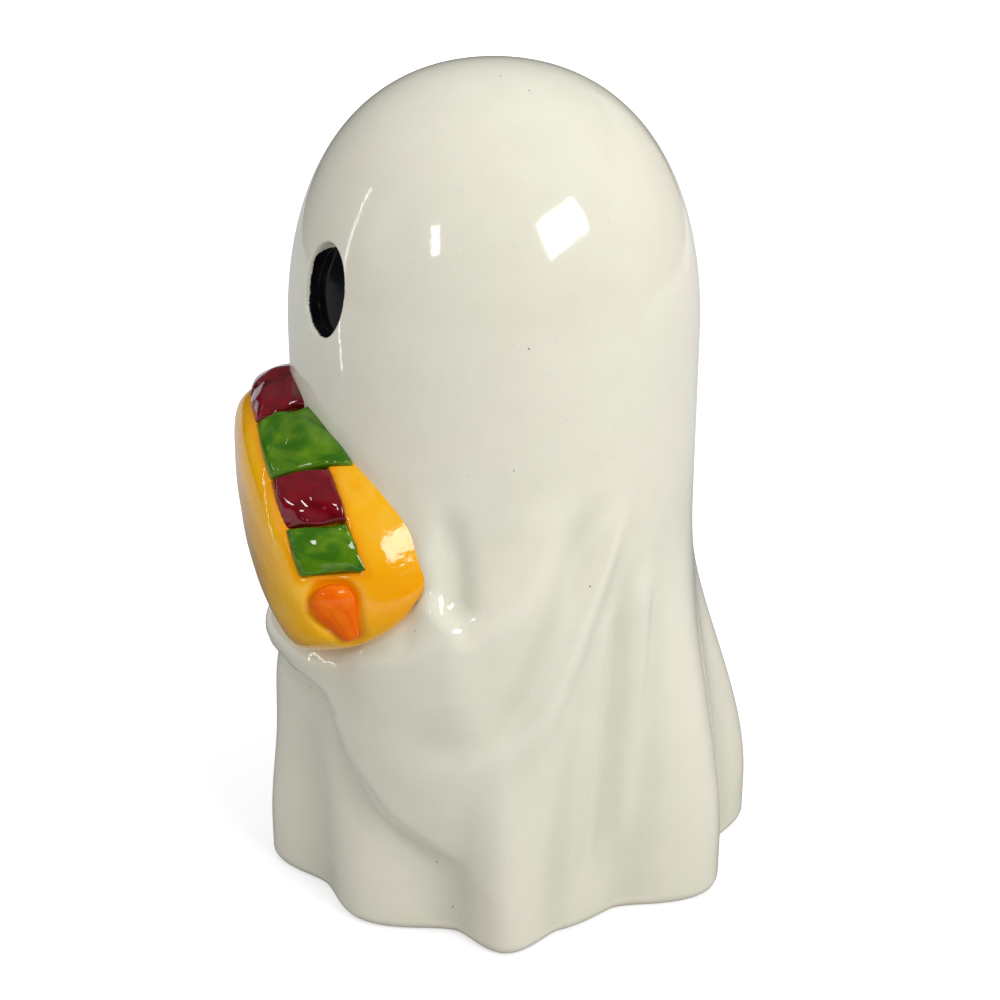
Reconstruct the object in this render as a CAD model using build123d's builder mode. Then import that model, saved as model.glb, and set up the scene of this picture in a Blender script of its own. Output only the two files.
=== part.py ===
"""Glazed ceramic ghost figure that holds a taco: a hollow cast body, inlaid eyes and a filled taco shell.

Millimetres and degrees. Z is up, the figure faces -Y and stands on Z = 0 with its axis at the origin.
A turn is an angle round the body: 0 at the front, 90 at the figure's left (+X), 180 at the back.
"""

import os
from collections import namedtuple
from math import cos, degrees, exp, hypot, radians, sin, sqrt

from build123d import *

# A swell is a soft rise or dip of the sheet, and a pleat a rise or dip along a slanting line
Swell = namedtuple("Swell", "size turn height turn_spread height_spread")
Pleat = namedtuple("Pleat", "size top_turn top bottom_turn bottom spread")

# Cast body: a dome on a straight neck, with a sheet that falls from the neck to a wavy hem
height = 165.0
head_radius = 40.0
dome_height = 51.0
dome_fullness = 0.62
crown_flat_radius = 2.0
neck_bottom = 104.0
wall = 4.5
hem_round = 2.4

# Hem: turn and reach of its lobes and hollows, and the height where each begins to form
hem_turns = (0, 22, 40, 67, 83, 100, 118, 144, 162, 180)
hem_reach = (48.0, 41.0, 43.5, 38.5, 45.2, 39.5, 38.5, 50.5, 47.5, 56.0)
fold_tops = (66, 60, 36, 30, 50, 68, 76, 82, 80, 80)
fold_fall = 0.88

# Arm: the sheet stands off the body over it and hangs from it, down to an edge that slants to the side
arm_turns = (0, 30, 60, 95, 130)
arm_swell = (2.0, 4.4, 5.0, 3.6, 0.5)
arm_tops = (70, 73, 82, 94, 102)
arm_top_ease = 24.0
arm_back_turn = 85.0
arm_back_ease = 45.0
drape_foot = 5.0
drape_ease = 45.0
drape_hem_share = 0.15
edge_heights = (0, 10, 18, 27, 37, 51, 62)
edge_turns = (80, 76, 66, 48, 37, 31, 20)
edge_ease_hem = 22.0
edge_ease_arm = 9.0
edge_ease_height = 50.0

# Hands and folds: a ledge under the taco, hands at its ends, hollows and pleats behind them
swells = (
    Swell(4.8, 0, 51, 24, 12),
    Swell(2.5, 63, 80, 6.5, 9),
    Swell(-1.6, 70.5, 79, 4.2, 11),
    Swell(2.2, 67, 66.5, 7, 6),
    Swell(-1.5, 70, 47, 10, 7),
)
pleats = (
    Pleat(-1.4, 113, 87, 82, 36, 4),
    Pleat(1.2, 121, 87, 90, 36, 5),
    Pleat(1.6, 118, 74, 105, 8, 4.5),
    Pleat(-0.8, 111, 74, 98, 8, 4),
    Pleat(1.6, 134, 80, 125, 6, 4.5),
    Pleat(-0.8, 127, 80, 118, 6, 4),
)
pleat_ease = 18.0
lip_swell = 1.5
lip_offset = 2.0
lip_spread = 2.8
lip_front_turn = 14.0
lip_back_turn = 80.0
lip_top = 84.0
lip_ease = 15.0

# Eyes: oval sockets in the dome, each lined with a dish of black glaze
eye_turn = 29.3
eye_share = 0.14
eye_tilt = 8.0
eye_width = 12.4
eye_length = 17.2
socket_depth = 3.0
eye_setback = 1.0
eye_floor = 1.0
eye_lining = 0.7

# Underside: a closed flat floor with a vent for the kiln behind the axis
floor_thickness = 5.0
vent_radius = 1.8
vent_back = 18.0

# Taco: a half disc from the front with a ball-shaped rim, a domed face and a fold that sags between the hands
taco_radius = 39.8
taco_height = 66.0
taco_middle = 31.0
taco_sag = 11.0
taco_corner = 9.0
taco_margin = 0.8
taco_front = 51.5
taco_back = 15.0
bulge_radius = 112.0
bulge_height = 91.0
rim_round = 1.8

# Filling: pieces laid in a channel round the rim, with the angle from the top where each one ends
lip = 3.2
filling_width = 9.6
filling_depth = 5.0
filling_proud = 0.7
filling_round = 0.8
crease_radius = 0.7
seam = 0.1
seam_angle = 0.3
tomato_top_end = 19.0
lettuce_upper_end = 42.0
tomato_side_end = 57.5
lettuce_lower_end = 70.5

# Cheese: a drop in a pocket at each end of the rim, with its tip down and back
cheese_inset = 0.8
cheese_rise = 5.5
cheese_middle = 36.2
cheese_tilt = 6.0
cheese_head = 3.6
cheese_head_rise = 2.6
cheese_tip = 0.7
cheese_tip_back = 3.2
cheese_tip_drop = 4.2
cheese_depth = 3.0
cheese_proud = 0.8
cheese_round = 0.6

# Drawing of the body: points round each outline, outlines up the sheet, and places up the dome
outline_points = 72
sheet_steps = 18
dome_shares = (0.0, 0.15, 0.3, 0.44, 0.57, 0.69, 0.8, 0.89, 0.95)

# Turn of each ball, which puts the line where its surface closes at the back, inside the body
seam_back = (0, 0, 90)

dome_foot = height - dome_height
fold_floor = taco_height - taco_sag
fold_radius = (taco_radius**2 + taco_sag**2) / (2 * taco_sag)
outline_radius = taco_radius + taco_margin
bulge_middle = bulge_radius - taco_front
reach_forward = taco_front + rim_round
channel_floor = taco_radius - filling_depth
filling_top = taco_radius + filling_proud


def ease(share):
    """Smooth step from 0 to 1."""
    share = min(1.0, max(0.0, share))
    return share * share * (3 - 2 * share)


def bump(distance, spread):
    """Bell curve that is 1 where the distance is 0."""
    return exp(-((distance / spread) ** 2))


def level(value, stops, levels, step=ease):
    """Level at a value, eased from each stop to the next, or straight with another step."""
    if value <= stops[0]:
        return levels[0]
    for low, high, start, end in zip(stops, stops[1:], levels, levels[1:]):
        if value <= high:
            return start + (end - start) * step((value - low) / (high - low))
    return levels[-1]


def straight(share):
    """Step without easing."""
    return share


def hem_folds(side, z):
    """Lobes and hollows that grow from the neck down to the hem."""
    top = level(side, hem_turns, fold_tops)
    return (level(side, hem_turns, hem_reach) - head_radius) * ease((top - z) / (top * fold_fall))


def arm_drape(side, z):
    """Stand-off of the sheet over an arm and of the panel that hangs from it."""
    edge = level(z, edge_heights, edge_turns, straight)
    edge_ease = level(z, (0, edge_ease_height), (edge_ease_hem, edge_ease_arm), straight)
    in_front = ease((side - edge) / edge_ease + 0.5)
    behind = 1 - ease((side - arm_back_turn) / arm_back_ease)
    above = ease((level(side, arm_turns, arm_tops) - z) / arm_top_ease)
    below = drape_hem_share + (1 - drape_hem_share) * ease((z - drape_foot) / drape_ease)
    return level(side, arm_turns, arm_swell) * in_front * behind * above * below


def hand_lip(side, z):
    """Lip of the sheet round the lower corner of the taco."""
    across = head_radius * sin(radians(side))
    outside_rim = hypot(across, z - taco_height) - taco_radius
    outside_fold = hypot(across, z - fold_floor - fold_radius) - fold_radius
    beside = bump(max(outside_rim, outside_fold) - lip_offset, lip_spread)
    at_hand = ease((side - lip_front_turn) / lip_ease) * ease((lip_back_turn - side) / lip_ease)
    return lip_swell * beside * at_hand * ease((lip_top - z) / lip_ease)


def pleat_rise(pleat, side, z):
    """Rise of the sheet along a pleat, which fades towards both ends."""
    line = level(z, (pleat.bottom, pleat.top), (pleat.bottom_turn, pleat.top_turn), straight)
    fade = ease((z - pleat.bottom) / pleat_ease) * ease((pleat.top - z) / pleat_ease)
    return pleat.size * fade * bump(side - line, pleat.spread)


def sheet_radius(turn, z):
    """Distance of the sheet from the axis, at a turn and a height."""
    side = abs(turn)
    radius = head_radius + hem_folds(side, z) + arm_drape(side, z) + hand_lip(side, z)
    for swell in swells:
        round_bump = bump(side - swell.turn, swell.turn_spread)
        radius += swell.size * round_bump * bump(z - swell.height, swell.height_spread)
    for pleat in pleats:
        radius += pleat_rise(pleat, side, z)
    return radius


def dome_point(share, inset):
    """Radius and height on the dome, from its foot at share 0 to its crown at share 1."""
    foot = (1 - share) ** 3
    lower = 3 * (1 - share) ** 2 * share
    upper = 3 * (1 - share) * share**2
    across = (head_radius - inset) * (foot + lower + dome_fullness * upper)
    up = (dome_height - inset) * (dome_fullness * lower + upper + share**3)
    return across, dome_foot + up


def section(z, reach):
    """Face across the body at one height, inside a closed curve whose reach depends on the turn."""
    turns = [radians(360 * step / outline_points - 180) for step in range(outline_points)]
    points = [(reach(degrees(turn)) * sin(turn), -reach(degrees(turn)) * cos(turn)) for turn in turns]
    with BuildSketch(Plane.XY.offset(z)) as face:
        with BuildLine():
            Spline(*points, periodic=True)
        make_face()
    return face.sketch


def sheet_sections(bottom, inset):
    """Faces across the sheet from its bottom up to the neck, drawn in by an inset."""
    heights = [bottom + (neck_bottom - bottom) * step / sheet_steps for step in range(sheet_steps + 1)]
    return [section(z, lambda turn: sheet_radius(turn, z) - inset) for z in heights]


def dome_sections(inset):
    """Round faces from the foot of the dome up to its flat crown."""
    points = [dome_point(share, inset) for share in dome_shares]
    points.append((crown_flat_radius, height - inset))
    return [section(z, lambda turn: across) for across, z in points]


def eye_plane(side):
    """Plane that touches the dome at the middle of an eye and looks out of it."""
    radius, z = dome_point(eye_share, 0)
    turn = radians(side * eye_turn)
    level_part = cos(radians(eye_tilt))
    outward = (sin(turn) * level_part, -cos(turn) * level_part, sin(radians(eye_tilt)))
    return Plane((radius * sin(turn), -radius * cos(turn), z), x_dir=(cos(turn), sin(turn), 0), z_dir=outward)


def rim_point(angle, radius):
    """Point over the rim of the taco, seen from the front, at an angle from its top."""
    return (radius * sin(radians(angle)), taco_height + radius * cos(radians(angle)))


def rim_sector(start, end, inner, outer, gap):
    """Block over a stretch of the rim, between two balls and between the sides, a gap clear of each side."""
    middle = (start + end) / 2
    far = 2 * outer
    with BuildSketch(Plane.XZ.offset(taco_back)) as sector:
        with BuildLine():
            Line((0, taco_height), rim_point(start, far))
            ThreePointArc(rim_point(start, far), rim_point(middle, far), rim_point(end, far))
            Line(rim_point(end, far), (0, taco_height))
        make_face()
    extrude(sector.sketch, amount=reach_forward - taco_back)
    with Locations((0, -taco_middle, taco_height)):
        Sphere(outer, rotation=seam_back, mode=Mode.INTERSECT)
        Sphere(inner, rotation=seam_back, mode=Mode.SUBTRACT)
    with Locations((0, bulge_middle, bulge_height)):
        Sphere(bulge_radius - lip - gap, mode=Mode.INTERSECT)
        Sphere(bulge_radius - lip - filling_width + gap, mode=Mode.SUBTRACT)


def cheese_outline(side, gap):
    """Drop-shaped face on the end of the rim, a gap smaller all round."""
    rim_reach = sqrt(taco_radius**2 - (cheese_middle - taco_middle) ** 2 - cheese_rise**2)
    middle = (side * (rim_reach - cheese_inset), -cheese_middle, taco_height + cheese_rise)
    outward = (side * cos(radians(cheese_tilt)), 0, -sin(radians(cheese_tilt)))
    with BuildSketch(Plane(middle, x_dir=(0, 1, 0), z_dir=outward)) as drop:
        with Locations((0, side * cheese_head_rise)):
            Circle(cheese_head - gap)
        with Locations((cheese_tip_back, -side * cheese_tip_drop)):
            Circle(cheese_tip - gap)
        make_hull()
    return drop.sketch


os.makedirs("parts", exist_ok=True)

# Outside of the body, which the taco and its filling are fitted to
with BuildPart() as body_form:
    loft(sheet_sections(0, 0) + dome_sections(0))
    fillet(body_form.faces().sort_by(Axis.Z)[0].edges(), hem_round)

with BuildPart() as cavity:
    loft(sheet_sections(floor_thickness, wall) + dome_sections(wall))

with BuildPart() as ghost_body:
    add(body_form.part)
    add(cavity.part, mode=Mode.SUBTRACT)
    for side in (-1, 1):
        with BuildSketch(eye_plane(side).offset(-socket_depth)):
            Ellipse(eye_width / 2, eye_length / 2)
        extrude(amount=2 * socket_depth, mode=Mode.SUBTRACT)
    with Locations((0, vent_back)):
        Cylinder(vent_radius, 2 * floor_thickness, mode=Mode.SUBTRACT)
ghost_body.part.label = "ghost_body"
export_step(ghost_body.part, "parts/ghost_body.step")

for side, name in ((1, "eye_left"), (-1, "eye_right")):
    with BuildPart() as eye:
        with BuildSketch(eye_plane(side).offset(-socket_depth)):
            Ellipse(eye_width / 2 - seam, eye_length / 2 - seam)
        extrude(amount=socket_depth - eye_setback)
        with BuildSketch(eye_plane(side).offset(eye_floor - socket_depth)):
            Ellipse(eye_width / 2 - seam - eye_lining, eye_length / 2 - seam - eye_lining)
        extrude(amount=socket_depth, mode=Mode.SUBTRACT)
    eye.part.label = name
    export_step(eye.part, f"parts/{name}.step")

with BuildPart() as filling_channel:
    rim_sector(-lettuce_lower_end, lettuce_lower_end, channel_floor, taco_radius + filling_depth, 0)

with BuildPart() as taco_shell:
    with BuildSketch(Plane.XZ.offset(taco_back)) as taco_outline:
        with BuildLine():
            ThreePointArc(rim_point(-90, outline_radius), rim_point(0, outline_radius), rim_point(90, outline_radius))
            ThreePointArc(rim_point(90, outline_radius), (0, fold_floor), rim_point(-90, outline_radius))
        make_face()
        fillet(taco_outline.vertices(), taco_corner)
    extrude(amount=reach_forward - taco_back)
    with Locations((0, -taco_middle, taco_height)):
        Sphere(taco_radius, rotation=seam_back, mode=Mode.INTERSECT)
    with Locations((0, bulge_middle, bulge_height)):
        Sphere(bulge_radius, mode=Mode.INTERSECT)
    fillet(taco_shell.faces().sort_by(Axis.Y)[0].edges(), rim_round)
    add(body_form.part, mode=Mode.SUBTRACT)
    add(filling_channel.part, mode=Mode.SUBTRACT)
    for side in (-1, 1):
        drop = cheese_outline(side, 0)
        extrude(drop, amount=cheese_proud + rim_round, mode=Mode.SUBTRACT)
        extrude(drop, amount=-cheese_depth, mode=Mode.SUBTRACT)
taco_shell.part.label = "taco_shell"
export_step(taco_shell.part, "parts/taco_shell.step")

# Filling pieces, with the angles from the top where each one starts and ends
for name, start, end in (
    ("tomato_top", -tomato_top_end, tomato_top_end),
    ("lettuce_upper_left", tomato_top_end, lettuce_upper_end),
    ("lettuce_upper_right", -lettuce_upper_end, -tomato_top_end),
    ("tomato_side_left", lettuce_upper_end, tomato_side_end),
    ("tomato_side_right", -tomato_side_end, -lettuce_upper_end),
    ("lettuce_lower_left", tomato_side_end, lettuce_lower_end),
    ("lettuce_lower_right", -lettuce_lower_end, -tomato_side_end),
):
    with BuildPart() as filling:
        rim_sector(start + seam_angle, end - seam_angle, channel_floor + seam, filling_top, seam)
        outer_face = filling.faces().sort_by_distance((0, -taco_middle, taco_height))[-1]
        fillet(outer_face.edges(), filling_round)
        add(body_form.part, mode=Mode.SUBTRACT)
        if start < 0 < end:
            with Locations((0, -taco_middle, taco_height)):
                Torus(filling_top, crease_radius, rotation=(0, 90, 0), mode=Mode.SUBTRACT)
    filling.part.label = name
    export_step(filling.part, f"parts/{name}.step")

for side, name in ((1, "cheese_left"), (-1, "cheese_right")):
    with BuildPart() as cheese:
        drop = cheese_outline(side, seam)
        extrude(drop, amount=cheese_proud)
        extrude(drop, amount=seam - cheese_depth)
        fillet(cheese.faces().sort_by(Axis((0, 0, 0), (side, 0, 0)))[-1].edges(), cheese_round)
    cheese.part.label = name
    export_step(cheese.part, f"parts/{name}.step")
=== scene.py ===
"""Glazed ceramic ghost figure that holds a taco, dressed for rendering.

Metres and degrees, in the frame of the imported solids: Z is up, the figure faces -Y and stands on Z = 0.
A turn is an angle round the body: 0 at the front, 90 at the figure's left (+X), 180 at the back.
A rim angle is an angle round the taco seen from the front: 0 at its top, growing to the figure's left.
"""

from collections import namedtuple
from contextlib import contextmanager
from math import cos, pi, radians, sin, sqrt

import bmesh
import bpy
import numpy as np
from bpy.props import FloatProperty, FloatVectorProperty, PointerProperty
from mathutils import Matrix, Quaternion, Vector


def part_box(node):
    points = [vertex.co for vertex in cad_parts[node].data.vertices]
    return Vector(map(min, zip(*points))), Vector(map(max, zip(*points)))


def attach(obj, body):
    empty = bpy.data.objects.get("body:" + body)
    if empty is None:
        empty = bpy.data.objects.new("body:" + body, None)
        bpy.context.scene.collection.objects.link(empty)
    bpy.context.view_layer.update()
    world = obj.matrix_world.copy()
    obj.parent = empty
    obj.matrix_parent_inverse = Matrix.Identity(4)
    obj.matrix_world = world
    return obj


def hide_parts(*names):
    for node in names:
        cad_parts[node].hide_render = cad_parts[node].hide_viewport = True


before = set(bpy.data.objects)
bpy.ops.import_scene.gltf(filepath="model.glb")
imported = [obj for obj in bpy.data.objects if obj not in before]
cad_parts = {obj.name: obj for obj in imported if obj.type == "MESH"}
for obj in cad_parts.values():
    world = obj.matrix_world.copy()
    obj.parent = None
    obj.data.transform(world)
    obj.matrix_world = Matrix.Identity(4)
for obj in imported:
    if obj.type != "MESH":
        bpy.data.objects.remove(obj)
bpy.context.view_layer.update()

bl_info = {
    "name": "Ceramic Ghost Figure",
    "version": (1, 0, 0),
    "blender": (4, 5, 0),
    "location": "View3D > Sidebar > Ghost",
    "description": "Models a glazed ceramic ghost that holds a taco, piece by piece",
    "category": "Add Mesh",
}

BODY_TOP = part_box("ghost_body")[1].z
FRONT_MARGIN = 0.0001
TACO_FRONT = -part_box("taco_shell")[0].y - FRONT_MARGIN


def mm(*values):
    """Millimetres as metres."""
    return tuple(0.001 * value for value in values)


# A swell is a soft rise or dip of the sheet, and a pleat a rise or dip along a slanting line
Swell = namedtuple("Swell", "size turn height turn_spread height_spread")
Pleat = namedtuple("Pleat", "size top_turn top bottom_turn bottom spread top_fade bottom_fade")

# Body: a dome on a straight neck, with a sheet that falls to a wavy hem
DOME_HEIGHT, HEM_ROUND, CROWN_FLAT = mm(51, 2.4, 0.05)
DOME_FULLNESS = 0.62
BASE_ROWS, HEM_ROWS, SHEET_ROWS, DOME_ROWS = 10, 8, 134, 84
SPIN_STEPS = 330
VENT_RADIUS, VENT_LENGTH, VENT_BACK = mm(1.8, 10, 18)
HEM_TURNS = (0, 22, 40, 67, 83, 100, 118, 144, 162, 180)
HEM_REACH = mm(48.0, 41.0, 43.5, 38.5, 45.0, 39.5, 38.5, 50.5, 47.5, 56.0)
FOLD_TOPS = mm(66, 60, 36, 30, 50, 68, 76, 82, 80, 80)
FOLD_FALL = 0.88
SWELLS = (
    Swell(*mm(3.0), 0, *mm(47), 24, *mm(14)),
    Swell(*mm(2.3), 0, *mm(56), 30, *mm(4)),
    Swell(*mm(1.9), 63, *mm(79), 4.6, *mm(8)),
    Swell(*mm(-0.9), 68, *mm(45.5), 10, *mm(5)),
)
PLEATS = (
    Pleat(*mm(-2.1), 68.5, *mm(92), 72, *mm(69), 4, *mm(18, 4)),
    Pleat(*mm(-1.5), 109.5, *mm(94), 78, *mm(40), 6, *mm(14, 14)),
    Pleat(*mm(1.1), 118.5, *mm(92), 86.5, *mm(38), 3.4, *mm(14, 14)),
    Pleat(*mm(0.8), 111.5, *mm(72), 103.5, *mm(12), 2.6, *mm(10, 14)),
    Pleat(*mm(-1.1), 118.5, *mm(74), 112, *mm(8), 5, *mm(18, 14)),
    Pleat(*mm(1.0), 125.5, *mm(76), 119.5, *mm(10), 3, *mm(10, 14)),
)

# Arm: the sheet stands off the body over it and hangs from it, down to an edge that slants to the side
ARM_TURNS = (0, 30, 58, 70, 95, 130)
ARM_SWELL = mm(2.4, 4.4, 5.0, 5.0, 3.6, 0.5)
ARM_TOPS = mm(64, 66, 76, 87, 95, 102)
ARM_TOP_EASES = mm(12, 12, 16, 22, 26, 26)
DRAPE_FOOT, DRAPE_EASE = mm(5, 45)
ARM_BACK_TURN, ARM_BACK_EASE = 85, 45
DRAPE_HEM_SHARE = 0.15
EDGE_HEIGHTS = mm(0, 10, 18, 27, 37, 46, 50.5, 54)
EDGE_TURNS = (80, 76, 66, 48, 36.5, 32, 25, -30)
EDGE_EASE_HEIGHTS = mm(0, 44, 54)
EDGE_EASES = (22, 10, 30)

# Hand: a raised part of the sheet with an arched upper edge, round the lower corner of the taco
HAND_TURNS = (40, 58, 62, 64.5, 67, 70, 74)
HAND_TOPS = mm(75, 75, 75.5, 76, 75.2, 72.5, 69)
HAND_RISE, HAND_EASE, HAND_FOOT, HAND_FALL = mm(1.5, 4.2, 40, 26)
HAND_FRONT_TURN, HAND_BACK_TURN, HAND_TURN_EASE = 38, 79, 10

# Glaze pools, and painted shade darkens the white, where the sheet lies lower than it does a little way off
POOL_TURN = 7
POOL_REACH, POOL_DEPTH = mm(6, 1.2)

# Eyes: oval sockets pressed into the dome, lined with glaze up to a painted edge that is bare at the top
EYE_TURN, EYE_TILT = 28.4, 8
EYE_SHARE = 0.14
EYE_ZONE = 1.25
SOCKET_RIM, SOCKET_WALL = 1.03, 0.13
EYE_INSETS = [0.011] * 18 + [0.06] * 12
BARE_DEPTH, BARE_ANGLE, BARE_SPREAD = 0.075, 1.75, 0.5
EYE_THICKNESS, EYE_COAT, EYE_EDGE = mm(0.5, 0.22, 0.03)
COAT_FADE, EDGE_STROKE = 0.04, 0.004

# Taco: where a ball, a domed front and a sagging fold overlap
TACO_HEIGHT, TACO_MIDDLE, TACO_SAG = mm(66, 31, 11)
BULGE_RADIUS, BULGE_HEIGHT = mm(112, 91)
TACO_HEART = Vector(mm(0, -33, 79))
TACO_TRIMS = (((0, 1, -1), 0.0139), ((0, -1, -1), 0.0217))
TACO_SOFTNESS = 14
TACO_UNIT, TACO_UNDER = mm(10, 0.8)
EndSwell = namedtuple("EndSwell", "middle spread size way")
BULB = EndSwell(mm(36.5, -24.0, 75.2), 0.011, 0.0012, (0.8, 0.6, 0.0))
BROW = EndSwell(mm(33.0, -29.5, 87.0), 0.006, 0.0005, (0.83, 0.04, 0.55))
CHANNEL_DEPTH, MOAT_DEPTH, WOBBLE = mm(2.0, 1.2, 0.12)
RIM_DEPTH, RIM_EASE, CHANNEL_EASE, CHANNEL_POOL = mm(6, 3, 0.6, 1.2)
# Shares of deeper yellow: glaze pooled along the channel's edges, and painted shade on the lower bulbs
CHANNEL_POOL_SHARE, BULB_SHADE_SHARE = 0.8, 0.7
RIM_GUESS, RIM_STEPS, WRAP_STEPS = -0.045, 40, 12

# Filling: puffed blocks along the rim, each with the rim angle at its lower end, its ruffle, how far
# that end spreads back, and how far its face leans
Block = namedtuple("Block", "end ruffle spread lean")
BLOCKS = {
    "tomato_top": Block(19, 0, *mm(0, 0)),
    "lettuce_upper": Block(42, 1, *mm(4.4, 0)),
    "tomato_side": Block(57.5, 0, *mm(0, 1.0)),
    "lettuce_lower": Block(70.5, 1, *mm(1.0, 0)),
}
BLOCK_ROUND, BLOCK_FOOT, BLOCK_SEAM, BLOCK_UNDER = mm(0.8, 3.0, 0.05, 0.4)
TOP_CROWN, SIDE_CROWN, RUFFLE, LUMP = mm(1.8, 0.5, 0.18, 0.13)
CREASE_DEPTH, CREASE_SPREAD = mm(1.5, 1.1)

# Cheese: a drop at each end of the rim, a large round head and a small tip down and back
CHEESE_RISE, CHEESE_MIDDLE, CHEESE_INSET = mm(5.5, 36.2, 0.8)
CHEESE_TILT = 6
CHEESE_ROUNDS = (((0.0006, 0.0024), 0.0041), ((0.0031, -0.0034), 0.0020))
CHEESE_THICKNESS, CHEESE_TIP_THICKNESS, CHEESE_SUNK, CHEESE_BACK = mm(2.0, 1.2, 1.0, 8)
MOAT_START, MOAT_WIDTH = mm(0.4, 2.2)


def ease(share):
    """Smooth step from 0 to 1."""
    share = np.clip(share, 0, 1)
    return share * share * (3 - 2 * share)


def bump(distance, spread):
    """Bell curve that is 1 where the distance is 0."""
    return np.exp(-((distance / spread) ** 2))


def level(value, stops, levels):
    """Level at a value, eased from each stop to the next."""
    place = np.interp(value, stops, range(len(stops)))
    low = np.minimum(place.astype(int), len(stops) - 2)
    levels = np.asarray(levels)
    return levels[low] + (levels[low + 1] - levels[low]) * ease(place - low)


def length(label, description, default):
    """Property of a length in metres."""
    return FloatProperty(name=label, description=description, default=default, unit="LENGTH")


class GhostSizes(bpy.types.PropertyGroup):
    """Sizes of the figure that a user may change"""

    height: length("Height", "Height of the body", BODY_TOP)
    head_radius: length("Head radius", "Radius of the neck and of the dome's foot", 0.040)
    eye_width: length("Eye width", "Width of an eye socket", 0.0124)
    eye_length: length("Eye length", "Height of an eye socket", 0.0172)
    socket_depth: length("Socket depth", "Depth of an eye socket", 0.0028)
    taco_radius: length("Taco radius", "Radius of the ball that shapes the taco's rim", 0.0398)
    taco_front: length("Taco front", "Reach of the taco in front of the axis", TACO_FRONT)
    filling_width: length("Filling width", "Width of the band of filling", 0.0096)
    filling_lip: length("Shell lip", "Thickness of the shell in front of the filling", 0.0032)
    filling_proud: length("Filling height", "How far the filling stands out of the shell", 0.0007)


def glaze_colour(label, description, red, green, blue):
    """Colour property of a glaze, given as it looks on screen from 0 to 255."""
    linear = [((value / 255 + 0.055) / 1.055) ** 2.4 for value in (red, green, blue)]
    return FloatVectorProperty(
        name=label, description=description, default=linear, subtype="COLOR", min=0, max=1, size=3
    )


class GhostColours(bpy.types.PropertyGroup):
    """Colours of the glazes"""

    white: glaze_colour("White", "Off-white glaze of the sheet", 238, 236, 215)
    # Darker white for the hollows of the sheet: pooled glaze and painted shade
    white_pool_shade: glaze_colour("White, pooled", "White glaze where it pools in hollows", 224, 224, 202)
    white_warm: glaze_colour("White, thin", "White glaze where it is thin", 241, 232, 214)
    speck: glaze_colour("Specks", "Iron specks and pinholes in the glaze", 128, 122, 108)
    bisque: glaze_colour("Bare clay", "Unglazed clay under the foot", 226, 214, 194)
    black: glaze_colour("Black", "Glaze in the eye sockets", 13, 13, 16)
    yellow: glaze_colour("Yellow", "Glaze of the taco's shell", 255, 192, 2)
    # Deeper yellow: random tone, glaze pooled along the channel, and painted shade round the cheese and on
    # the lower bulbs
    yellow_deep: glaze_colour("Yellow, pooled", "Shell glaze where it pools", 246, 154, 0)
    yellow_pale: glaze_colour("Yellow, thin", "Shell glaze where it is brushed thin", 252, 204, 70)
    red: glaze_colour("Red", "Glaze of the tomato", 138, 6, 26)
    red_deep: glaze_colour("Red, pooled", "Tomato glaze where it pools", 106, 2, 17)
    green: glaze_colour("Green", "Glaze of the lettuce", 54, 106, 4)
    green_pale: glaze_colour("Green, thin", "Lettuce glaze where it is brushed thin", 116, 154, 20)
    orange: glaze_colour("Orange", "Glaze of the cheese", 242, 100, 0)
    orange_pale: glaze_colour("Orange, thin", "Cheese glaze where it is brushed thin", 252, 130, 10)


# Shape of the body


def dome_curve(share, head, height):
    """Distance from the axis and height of the plain dome, from its foot at 0 to its crown at 1."""
    lower = 3 * (1 - share) ** 2 * share
    upper = 3 * (1 - share) * share**2
    across = head * ((1 - share) ** 3 + lower + DOME_FULLNESS * upper)
    up = height - DOME_HEIGHT + DOME_HEIGHT * (DOME_FULLNESS * lower + upper + share**3)
    return across, up


def dome_radius(z, head, height):
    """Radius of the plain bell at a height, from the neck up to the crown."""
    across, up = dome_curve(np.linspace(0, 1, 400), head, height)
    return np.interp(z, up, across, left=head)


def hem_folds(side, z, head):
    """Lobes and hollows that grow from the neck down to the hem."""
    top = level(side, HEM_TURNS, FOLD_TOPS)
    return (level(side, HEM_TURNS, HEM_REACH) - head) * ease((top - z) / (top * FOLD_FALL))


def arm_drape(side, z):
    """Stand-off of the sheet over an arm and of the panel that hangs from it."""
    edge = np.interp(z, EDGE_HEIGHTS, EDGE_TURNS)
    edge_ease = np.interp(z, EDGE_EASE_HEIGHTS, EDGE_EASES)
    in_front = ease((side - edge) / edge_ease + 0.5)
    behind = 1 - ease((side - ARM_BACK_TURN) / ARM_BACK_EASE)
    above = ease((level(side, ARM_TURNS, ARM_TOPS) - z) / level(side, ARM_TURNS, ARM_TOP_EASES))
    below = DRAPE_HEM_SHARE + (1 - DRAPE_HEM_SHARE) * ease((z - DRAPE_FOOT) / DRAPE_EASE)
    return level(side, ARM_TURNS, ARM_SWELL) * in_front * behind * above * below


def hand_rise(side, z):
    """Rise of the sheet over a hand."""
    above = ease((level(side, HAND_TURNS, HAND_TOPS) - z) / HAND_EASE)
    beside = ease((side - HAND_FRONT_TURN) / HAND_TURN_EASE) * ease((HAND_BACK_TURN - side) / HAND_TURN_EASE)
    return HAND_RISE * above * beside * ease((z - HAND_FOOT) / HAND_FALL)


def pleat_rise(pleat, side, z):
    """Rise of the sheet along a pleat, which fades towards both ends."""
    line = np.interp(z, (pleat.bottom, pleat.top), (pleat.bottom_turn, pleat.top_turn))
    fade = ease((z - pleat.bottom) / pleat.bottom_fade) * ease((pleat.top - z) / pleat.top_fade)
    return pleat.size * fade * bump(side - line, pleat.spread)


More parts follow.
